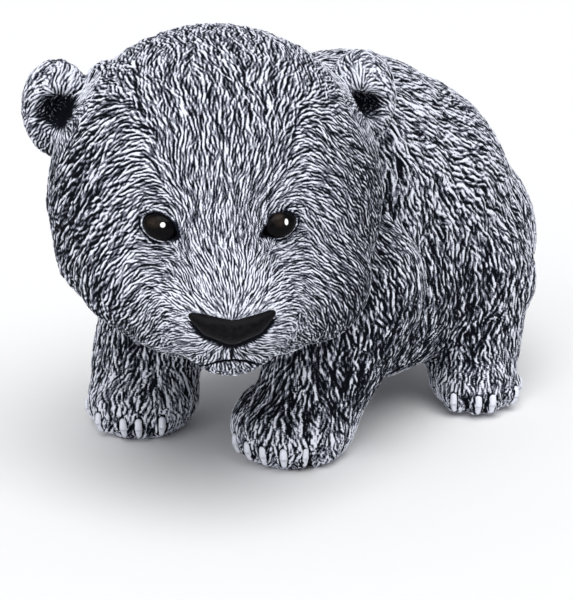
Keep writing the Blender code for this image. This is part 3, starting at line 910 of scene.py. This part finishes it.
rims, lids = eye_masks(points)
hollow = ear_nearness(local, EAR_SOOT_RADIUS, 1)
by_nose = fade(nose_distance(points), NOSE_SOOT_REACH) * (local[:, 2] < NOSE_SOOT_TOP)
by_claws = fade(np.abs(claw_distance(points) - CLAW_SOOT_OUT), CLAW_SOOT_REACH)
# Painted shade: darker towards the outer rim of the cheeks and the lower head, where the light falls off.
shaded_cheek_rims = fade(CHEEK_SHADE_RADIUS - np.hypot(local[:, 0], local[:, 2]), CHEEK_SHADE_EDGE)
shaded_cheek_rims = shaded_cheek_rims * fade(local[:, 2] - CHEEK_SHADE_TOP, CHEEK_SHADE_HIGH) * (1 - trunk)
# Stain in the ear hollows, the mouth, round the eyes, between the toes, by the nose and by the claws,
# joined with painted shade on the outer cheeks and the lower trunk.
stain_and_shade = np.maximum.reduce([
    STAIN_AND_SHADE["ears"] * hollow, STAIN_AND_SHADE["mouth"] * mouth_groove(local), STAIN_AND_SHADE["eyes"] * rims,
    STAIN_AND_SHADE["toes"] * toe_grooves(points), STAIN_AND_SHADE["nose"] * by_nose, STAIN_AND_SHADE["claws"] * by_claws,
    STAIN_AND_SHADE["cheeks"] * shaded_cheek_rims, shade])

# %% Pale places
PALE = dict(muzzle=0.27, chin=0.25, ears=0.5, paws=0.3)
PALE_MUZZLE_SHAPE, PALE_MUZZLE_RADIUS = (0.8, 1, 0.8), 60
CHIN_TOP, CHIN_EDGE, CHIN_BACK = -57, 3, -56
PALE_EAR_RADIUS, HOLLOW_EDGE, PALE_PAWS_HEIGHT = 38, 3, 45

from_nose = np.linalg.norm((local - NOSE_POINT) * np.array(PALE_MUZZLE_SHAPE), axis=1)
on_chin = fade(local[:, 2] - CHIN_TOP, CHIN_EDGE) * (local[:, 1] < CHIN_BACK)
ear_rims = ear_nearness(local, PALE_EAR_RADIUS) * np.clip(1 - HOLLOW_EDGE * hollow, 0, 1)
pale = np.maximum.reduce([
    PALE["muzzle"] * fade(from_nose, PALE_MUZZLE_RADIUS), PALE["chin"] * on_chin,
    PALE["ears"] * ear_rims, PALE["paws"] * fade(points[:, 2], PALE_PAWS_HEIGHT), lids])

# %% Attributes of the skin
STROKES_IN_RELIEF, TUFTS_IN_RELIEF, SOFTER_ON_HEAD = 0.85, 0.3, 0.16
BROAD_FROM, BROAD_RANGE = 1.5, 1.0


def keep(mesh, name, values):
    """Keep one value for each point on the mesh."""
    layer = mesh.attributes.new(name, "FLOAT", "POINT")
    layer.data.foreach_set("value", values.astype(np.float32))


relief = (STROKES_IN_RELIEF * strokes + TUFTS_IN_RELIEF * tufts) * carved
keep(skin, "relief", relief * (1 - SOFTER_ON_HEAD * (1 - trunk)))
keep(skin, "stain_and_shade", stain_and_shade)
keep(skin, "pale", pale)
keep(skin, "broad", np.clip((gaps - BROAD_FROM) / BROAD_RANGE, 0, 1))
print("soot up to", stain_and_shade.max().round(2), "and pale up to", pale.max().round(2))
layer = skin.attributes.new("lie", "FLOAT_VECTOR", "POINT")
layer.data.foreach_set("vector", ways.astype(np.float32).ravel())

# %% [markdown]
# ## From shares to metres, and into pieces
# A single mesh this fine is too heavy to handle, so it is cut by planes into eight closed pieces. The true
# normals of the whole skin are kept on every piece, so that no cut shows.

# %% To metres
set_points(skin, (points_of(skin) - MIDDLE) * SHARE)
whole_normals = points_of(skin, "normal")
layer = skin.attributes.new("whole_normal", "FLOAT_VECTOR", "POINT")
layer.data.foreach_set("vector", whole_normals.astype(np.float32).ravel())


def to_metres(place):
    return Vector((np.array(place) - MIDDLE) * SHARE)


# %% How the skin is cut
ON_THE_PLANE = 1e-7
UP, BACKWARD, FORWARD = Vector((0, 0, 1)), Vector((0, 1, 0)), Vector((0, -1, 0))


def cut(bm, place, normal):
    """The part of the skin in front of the plane, and the part behind it, both closed."""
    halves = []
    for side in (1, -1):
        half = bm.copy()
        made = bmesh.ops.bisect_plane(
            half, geom=half.verts[:] + half.edges[:] + half.faces[:], dist=ON_THE_PLANE,
            plane_co=place, plane_no=normal * side, clear_inner=True)
        rim_edges = [thing for thing in made["geom_cut"] if isinstance(thing, bmesh.types.BMEdge)]
        closed = bmesh.ops.triangle_fill(half, edges=rim_edges, use_beauty=True, normal=-normal * side)
        caps = [thing for thing in closed["geom"] if isinstance(thing, bmesh.types.BMFace)]
        turned = [face for face in caps if face.normal.dot(normal) * side > 0]
        bmesh.ops.reverse_faces(half, faces=turned)
        halves.append(half)
    bm.free()
    return halves


def body_plane(place, way):
    return to_metres(place), way


def head_plane(place, way):
    return to_metres(HEAD @ Vector(place)), HEAD_TURN @ way


# %% Cut the skin
parts = {}
whole = bmesh.new()
whole.from_mesh(skin)
upper, lower = cut(whole, *body_plane((0, 0, 64), UP))
parts["hind_legs"], parts["front_legs"] = cut(lower, *body_plane((0, 25, 0), BACKWARD))
face, rest = cut(upper, *head_plane((0, 4, 0), FORWARD))
above, below = cut(face, *head_plane((0, 0, -24), UP))
parts["muzzle"], parts["jaw"] = cut(below, *head_plane((0, -44, 0), FORWARD))
parts["forehead"], parts["cheeks"] = cut(above, *head_plane((0, 0, 28), UP))
parts["rump"], parts["shoulders"] = cut(rest, *body_plane((0, 10, 0), BACKWARD))
for name, part in parts.items():
    print(name, "has", sum(len(face.verts) - 2 for face in part.faces), "triangles,",
          sum(not edge.is_manifold for edge in part.edges), "open edges")

# %% Pieces of the skin
pieces = {}


def add_piece(name, mesh):
    piece = bpy.data.objects.new(name, mesh)
    bpy.context.scene.collection.objects.link(piece)
    mesh.shade_smooth()
    pieces[name] = piece
    return piece


for name, part in parts.items():
    mesh = as_mesh(part, name)
    normals = np.empty(len(mesh.vertices) * 3, dtype=np.float32)
    mesh.attributes["whole_normal"].data.foreach_get("vector", normals)
    mesh.attributes.remove(mesh.attributes["whole_normal"])
    add_piece(name, mesh)
    mesh.normals_split_custom_set_from_vertices(normals.reshape(-1, 3).tolist())
bpy.data.meshes.remove(skin)
print(len(pieces), "pieces of skin")

# %% [markdown]
# ## Eyes, nose and claws
# The eyeballs, the nose pad and the claws are smooth where the rest is carved. They could be painted on the
# skin, but the fur's strokes would show through, so each is a form of its own that sits in the skin.

# %% Eyeballs
def in_metres(bm):
    matrix = Matrix.Scale(SHARE, 4) @ Matrix.Translation(-Vector(MIDDLE))
    bmesh.ops.transform(bm, matrix=matrix, verts=bm.verts[:])


EYEBALL_RADII, EYEBALL_BACK = (7.5, 3.2, 5.6), 0.3
HIGHLIGHTS = {"eye_left": ((2.1, 1.9), (0.85, 1.35)), "eye_right": ((1.8, 1.7), (1.1, 1.1))}
MAP_MIDDLE, HIGHLIGHT_ON_MAP = 0.5, 0.05
for name, (side, frame_of) in EYES.items():
    bm = bmesh.new()
    stretch = Matrix.Translation((0, EYEBALL_BACK - EYE_SINK, 0)) @ Matrix.Diagonal((*EYEBALL_RADII, 1))
    bmesh.ops.create_uvsphere(bm, u_segments=64, v_segments=40, radius=1, matrix=frame_of @ stretch)
    uv = bm.loops.layers.uv.new("eye")
    upright = eye_frame(side, 0).inverted()
    (dot_x, dot_z), (dot_wide, dot_high) = HIGHLIGHTS[name]
    for bm_face in bm.faces:
        for loop in bm_face.loops:
            place = upright @ loop.vert.co
            loop[uv].uv = (MAP_MIDDLE + HIGHLIGHT_ON_MAP * (place.x - dot_x) / dot_wide,
                           MAP_MIDDLE + HIGHLIGHT_ON_MAP * (place.z - dot_z) / dot_high)
    in_metres(bm)
    add_piece(name, as_mesh(bm, name))

# %% Nose pad
PAD_GRAIN, PAD_SMOOTHING = 0.4, 16
bm = bmesh.new()
for limb in NOSE:
    add_limb(bm, *limb)
pad = fused(as_mesh(bm, "nose_pad"), PAD_GRAIN, PAD_SMOOTHING)
bm = bmesh.new()
bm.from_mesh(pad)
in_metres(bm)
add_piece("nose_pad", as_mesh(bm, "nose_pad"))

# %% Claws
for name, limbs in CLAW_LIMBS.items():
    bm = bmesh.new()
    for limb in limbs:
        add_limb(bm, *limb, fineness=2)
    in_metres(bm)
    add_piece("claws_" + name, as_mesh(bm, "claws_" + name))
print("the cub has", len(pieces), "pieces:", ", ".join(pieces))

# %% [markdown]
# ## The brushed finish
# One effect makes the whole coat: charcoal stain in the grooves, bare grey between, and white paint that a
# nearly dry brush leaves on the ridges, broken up by the stone's own grain, with painted shade darkening it
# on the lower trunk, the legs and the outer cheeks. It is a node group, so the fur and the claws can share
# it with different settings.

# %% Helpers for nodes
def place_node(tree, kind, **settings):
    node = tree.nodes.new(kind)
    for name, value in settings.items():
        setattr(node, name, value)
    return node


def join(tree, source, target):
    tree.links.new(source, target)


def read_attribute(tree, name, output="Fac"):
    return place_node(tree, "ShaderNodeAttribute", attribute_name=name).outputs[output]


def math_node(tree, operation, *values, clamp=False):
    node = place_node(tree, "ShaderNodeMath", operation=operation, use_clamp=clamp)
    for socket, value in zip(node.inputs, values):
        if isinstance(value, (int, float)):
            socket.default_value = value
        else:
            join(tree, value, socket)
    return node.outputs["Value"]


def smooth_step(tree, value, low, high):
    """0 below low, 1 above high, with a soft slope between."""
    node = place_node(tree, "ShaderNodeMapRange", interpolation_type="SMOOTHSTEP")
    for socket, given in zip(("Value", "From Min", "From Max"), (value, low, high)):
        if isinstance(given, (int, float)):
            node.inputs[socket].default_value = given
        else:
            join(tree, given, node.inputs[socket])
    return node.outputs["Result"]


def mix_colour(tree, share, first, second):
    node = place_node(tree, "ShaderNodeMix", data_type="RGBA")
    join(tree, share, node.inputs["Factor"])
    for socket, value in ((node.inputs[6], first), (node.inputs[7], second)):
        if isinstance(value, tuple):
            socket.default_value = (*value, 1)
        else:
            join(tree, value, socket)
    return node.outputs[2]


def grain(tree, scale, detail=2.0, roughness=0.5, place=None):
    """A noise on Object coordinates: scale is in grains per metre."""
    place = place or place_node(tree, "ShaderNodeTexCoord").outputs["Object"]
    noise = place_node(tree, "ShaderNodeTexNoise")
    if isinstance(scale, (int, float)):
        noise.inputs["Scale"].default_value = scale
    else:
        join(tree, scale, noise.inputs["Scale"])
    noise.inputs["Detail"].default_value = detail
    noise.inputs["Roughness"].default_value = roughness
    join(tree, place, noise.inputs["Vector"])
    return noise.outputs["Fac"]


# %% The streaks
STREAK_STEPS, STREAK_DETAIL, STREAK_SPREAD = (-1, -0.5, 0, 0.5, 1), 1.0, 6.0


def new_group(name, inputs, outputs):
    group = bpy.data.node_groups.new(name, "ShaderNodeTree")
    for way, sockets in (("INPUT", inputs), ("OUTPUT", outputs)):
        for socket, kind in sockets.items():
            group.interface.new_socket(socket, in_out=way, socket_type="NodeSocket" + kind)
    return group


def make_streaks():
    """A fine noise that is drawn out along the fur: the mean of a few grains in a row along its lie."""
    group = new_group("fur streaks", dict(Lie="Vector", Scale="Float", Length="Float"), dict(Value="Float"))
    given = place_node(group, "NodeGroupInput").outputs
    place = place_node(group, "ShaderNodeTexCoord").outputs["Object"]
    total = 0
    for step in STREAK_STEPS:
        drawn = place_node(group, "ShaderNodeVectorMath", operation="SCALE")
        join(group, given["Lie"], drawn.inputs["Vector"])
        join(group, math_node(group, "MULTIPLY", given["Length"], step), drawn.inputs["Scale"])
        shifted = place_node(group, "ShaderNodeVectorMath", operation="ADD")
        join(group, drawn.outputs["Vector"], shifted.inputs[0])
        join(group, place, shifted.inputs[1])
        one = grain(group, given["Scale"], STREAK_DETAIL, place=shifted.outputs["Vector"])
        total = math_node(group, "ADD", one, total)
    mean = math_node(group, "MULTIPLY_ADD", total, 1 / len(STREAK_STEPS), -0.5)
    spread = math_node(group, "MULTIPLY", mean, STREAK_SPREAD)
    join(group, spread, place_node(group, "NodeGroupOutput").inputs["Value"])
    return group


streaks = make_streaks()


def add_streaks(tree, lie, scale, length):
    node = place_node(tree, "ShaderNodeGroup", node_tree=streaks)
    join(tree, lie, node.inputs["Lie"])
    node.inputs["Scale"].default_value = scale
    node.inputs["Length"].default_value = length
    return node.outputs["Value"]


# %% The brushed group
CHARCOAL, BARE_STONE = (0.003, 0.004, 0.007), (0.165, 0.177, 0.222)
BRUSHED_WHITE = (0.845, 0.87, 0.96)
STONE_SHOWS, WHITE_SHOWS = (-0.4, 0.15), (0.03, 0.58)
FINE_STREAKS, BROAD_STREAKS = dict(scale=1150, length=0.0011), dict(scale=460, length=0.0024)
PATCH_SCALE, PATCH_MEAN = 150, 0.5
# The negative weight on the stain mask also darkens the painted shade on the lower trunk, the legs and the
# outer cheeks.
WEIGHTS = dict(fine=0.6, broad=0.75, patch=0.7, pale=0.7, stain_and_shade=-1.8)
BROAD_IN_BUMP, COAT_ROUGHNESS, UNEVEN_ROUGHNESS = 1.5, 0.82, 0.1


def make_brushed():
    """The height of the relief, roughened and weighed, picks stain, bare stone or brushed white."""
    group = new_group("brushed finish",
                      dict(Relief="Float", StainAndShade="Float", Pale="Float", Broad="Float", Lie="Vector"),
                      dict(Color="Color", Roughness="Float", Height="Float"))
    given = place_node(group, "NodeGroupInput").outputs
    fine = add_streaks(group, given["Lie"], **FINE_STREAKS)
    broad = math_node(group, "MULTIPLY", add_streaks(group, given["Lie"], **BROAD_STREAKS), given["Broad"])
    patch = math_node(group, "SUBTRACT", grain(group, PATCH_SCALE), PATCH_MEAN)
    weighed = dict(fine=fine, broad=broad, patch=patch, pale=given["Pale"], stain_and_shade=given["StainAndShade"])
    height = given["Relief"]
    for name, value in weighed.items():
        height = math_node(group, "MULTIPLY_ADD", value, WEIGHTS[name], height)
    stone = mix_colour(group, smooth_step(group, height, *STONE_SHOWS), CHARCOAL, BARE_STONE)
    colour = mix_colour(group, smooth_step(group, height, *WHITE_SHOWS), stone, BRUSHED_WHITE)
    roughness = math_node(group, "MULTIPLY_ADD", fine, UNEVEN_ROUGHNESS, COAT_ROUGHNESS)
    made = place_node(group, "NodeGroupOutput").inputs
    join(group, colour, made["Color"])
    join(group, roughness, made["Roughness"])
    join(group, math_node(group, "MULTIPLY_ADD", broad, BROAD_IN_BUMP, fine), made["Height"])
    return group


brushed = make_brushed()

# %% The fur's material
RELIEF_DISTANCE, COAT_SPECULAR = 0.0003, 0.05


def new_material(name):
    material = bpy.data.materials.new(name)
    material.use_nodes = True
    return material, material.node_tree, material.node_tree.nodes["Principled BSDF"]


def add_bump(tree, shader, height, strength, distance):
    relief = place_node(tree, "ShaderNodeBump")
    relief.inputs["Strength"].default_value = strength
    relief.inputs["Distance"].default_value = distance
    join(tree, height, relief.inputs["Height"])
    join(tree, relief.outputs["Normal"], shader.inputs["Normal"])


def brushed_material(name, attributes, bump):
    """The brushed finish, fed with named attributes of the skin or with plain numbers."""
    material, tree, shader = new_material(name)
    finish = place_node(tree, "ShaderNodeGroup", node_tree=brushed)
    for socket, value in attributes.items():
        if isinstance(value, str):
            output = "Vector" if socket == "Lie" else "Fac"
            join(tree, read_attribute(tree, value, output), finish.inputs[socket])
        else:
            finish.inputs[socket].default_value = value
    add_bump(tree, shader, finish.outputs["Height"], bump, RELIEF_DISTANCE)
    join(tree, finish.outputs["Color"], shader.inputs["Base Color"])
    join(tree, finish.outputs["Roughness"], shader.inputs["Roughness"])
    shader.inputs["Specular IOR Level"].default_value = COAT_SPECULAR
    return material


FUR_MASKS = dict(Relief="relief", StainAndShade="stain_and_shade", Pale="pale", Broad="broad", Lie="lie")
fur = brushed_material("stained and brushed fur", FUR_MASKS, bump=0.7)
claw = brushed_material("white brushed claw", dict(Relief=0.9, StainAndShade=0.0, Pale=0.6), bump=0.3)

# %% [markdown]
# ## Paint on the eyes and the nose
# The eyes are a glossy black with a brown patch near the top that is partly the iris and partly a painted
# sheen, and one white dot each, which makes them look wet. A dot is paint, so it isn't left to the lamps:
# it lies on a small map of the eye's front. The nose is a satin black that is slightly worn.

# %% Eye paint
EYE_BLACK, EYE_BROWN_AND_SHEEN, EYE_WHITE = (0.003, 0.0025, 0.003), (0.028, 0.020, 0.016), (0.95, 0.95, 0.95)
# The brown patch is partly iris and partly painted sheen, set where the sheen lies on the eye's upper side.
IRIS_AND_SHEEN = dict(centre=(0.32, 0.54), radii=(0.14, 0.09), edge=0.6)
HIGHLIGHT = dict(centre=(MAP_MIDDLE, MAP_MIDDLE), radii=(HIGHLIGHT_ON_MAP, HIGHLIGHT_ON_MAP), edge=0.12)
IRIS_AND_SHEEN_GRAIN, GLOSS_GRAIN, GLOSS_RANGE = (500, 1.5), 300, (-1.5, 6.5)
EYE_SPECULAR, EYE_COAT, EYE_COAT_ROUGHNESS = 0.03, 0.05, 0.06


def spot(tree, centre, radii, edge):
    """A round spot on the eye's own map: 1 inside, 0 outside, with an edge as soft as asked."""
    apart = place_node(tree, "ShaderNodeSeparateXYZ")
    join(tree, place_node(tree, "ShaderNodeUVMap", uv_map="eye").outputs["UV"], apart.inputs["Vector"])
    squares = []
    for axis, middle, radius in zip("XY", centre, radii):
        offset = math_node(tree, "SUBTRACT", apart.outputs[axis], middle)
        share = math_node(tree, "MULTIPLY", offset, 1 / radius)
        squares.append(math_node(tree, "MULTIPLY", share, share))
    out = math_node(tree, "SQRT", math_node(tree, "ADD", *squares))
    return smooth_step(tree, out, 1 + edge, 1 - edge)


eye_paint, tree, shader = new_material("glossy eye paint")
mottled = math_node(tree, "MULTIPLY", grain(tree, IRIS_AND_SHEEN_GRAIN[0]), IRIS_AND_SHEEN_GRAIN[1], clamp=True)
iris_and_sheen = math_node(tree, "MULTIPLY", spot(tree, **IRIS_AND_SHEEN), mottled)
colour = mix_colour(tree, iris_and_sheen, EYE_BLACK, EYE_BROWN_AND_SHEEN)
colour = mix_colour(tree, spot(tree, **HIGHLIGHT), colour, EYE_WHITE)
join(tree, colour, shader.inputs["Base Color"])
join(tree, smooth_step(tree, grain(tree, GLOSS_GRAIN), *GLOSS_RANGE), shader.inputs["Roughness"])
shader.inputs["Specular IOR Level"].default_value = EYE_SPECULAR
shader.inputs["Coat Weight"].default_value = EYE_COAT
shader.inputs["Coat Roughness"].default_value = EYE_COAT_ROUGHNESS

# %% Nose paint
NOSE_UNDERNEATH, NOSE_WORN = (0.002, 0.002, 0.003), (0.008, 0.007, 0.009)
WORN_GRAIN, WORN_RANGE = dict(scale=400, detail=3.0, roughness=0.6), (0.35, 0.75)
NOSE_ROUGHNESS, WORN_ROUGHER, NOSE_SPECULAR = 0.42, 0.2, 0.07
NOSE_RELIEF = dict(strength=0.25, distance=0.0002)
NOSE_RELIEF_GRAIN = 900
nose_paint, tree, shader = new_material("satin nose paint")
worn = smooth_step(tree, grain(tree, **WORN_GRAIN), *WORN_RANGE)
roughness = math_node(tree, "MULTIPLY_ADD", worn, WORN_ROUGHER, NOSE_ROUGHNESS)
join(tree, mix_colour(tree, worn, NOSE_UNDERNEATH, NOSE_WORN), shader.inputs["Base Color"])
join(tree, roughness, shader.inputs["Roughness"])
shader.inputs["Specular IOR Level"].default_value = NOSE_SPECULAR
add_bump(tree, shader, grain(tree, NOSE_RELIEF_GRAIN), **NOSE_RELIEF)

# %% Give every piece its finish
FINISHES = {"eye": eye_paint, "nose": nose_paint, "claws": claw}
for name, piece in pieces.items():
    piece.data.materials.clear()
    piece.data.materials.append(FINISHES.get(name.split("_")[0], fur))

# %% [markdown]
# ## Back to the imported cub
# Every piece rides on the part's one body, and the imported cub is hidden, so that only the pieces show.

# %% Ride on the body and hide the imported cub
for piece in pieces.values():
    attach(piece, "root")
    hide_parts("bear")
